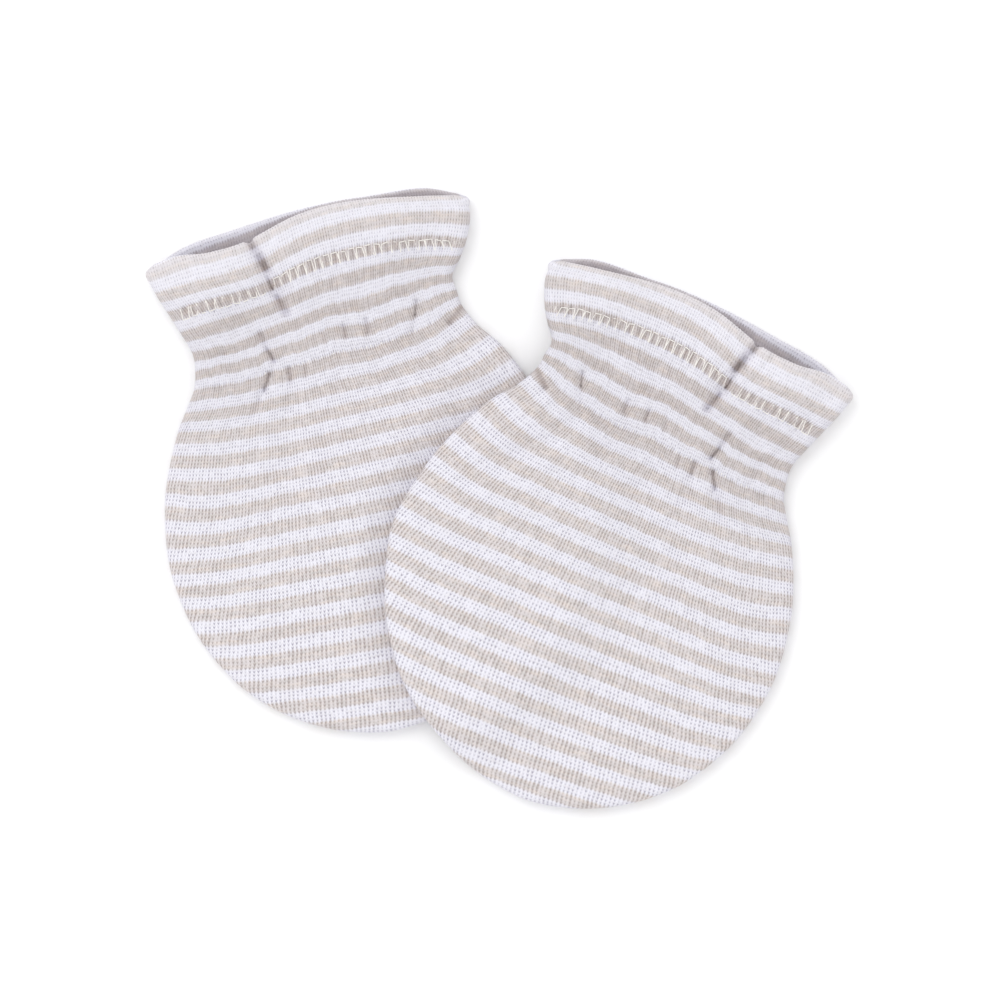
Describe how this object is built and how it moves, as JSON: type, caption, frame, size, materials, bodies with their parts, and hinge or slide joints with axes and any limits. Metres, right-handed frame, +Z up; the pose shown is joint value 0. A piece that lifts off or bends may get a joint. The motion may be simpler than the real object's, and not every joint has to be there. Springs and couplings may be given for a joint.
{
  "type": "pair of baby mittens",
  "caption": "Pair of thumbless baby scratch mittens in striped cotton knit, lying flat, one laid across the edge of the other, with hemmed mouths and gathered wrists.",
  "frame": {"origin": "middle of the pair's footprint, on the surface that it lies on", "axes": "+Z up from the surface, +Y towards the two mouths, +X from the under mitten to the over mitten"},
  "size_m": [0.1384, 0.1212, 0.0083],
  "materials": {
    "under_mitten_front": "matt cotton knit, oatmeal and white stripes",
    "under_mitten_back": "matt cotton knit, oatmeal and white stripes",
    "over_mitten_front": "matt cotton knit, oatmeal and white stripes",
    "over_mitten_back": "matt cotton knit, oatmeal and white stripes"
  },
  "bodies": {
    "root": {"under_mitten_front": "under_mitten_front", "under_mitten_back": "under_mitten_back", "over_mitten_front": "over_mitten_front", "over_mitten_back": "over_mitten_back"}
  },
  "joints": []
}
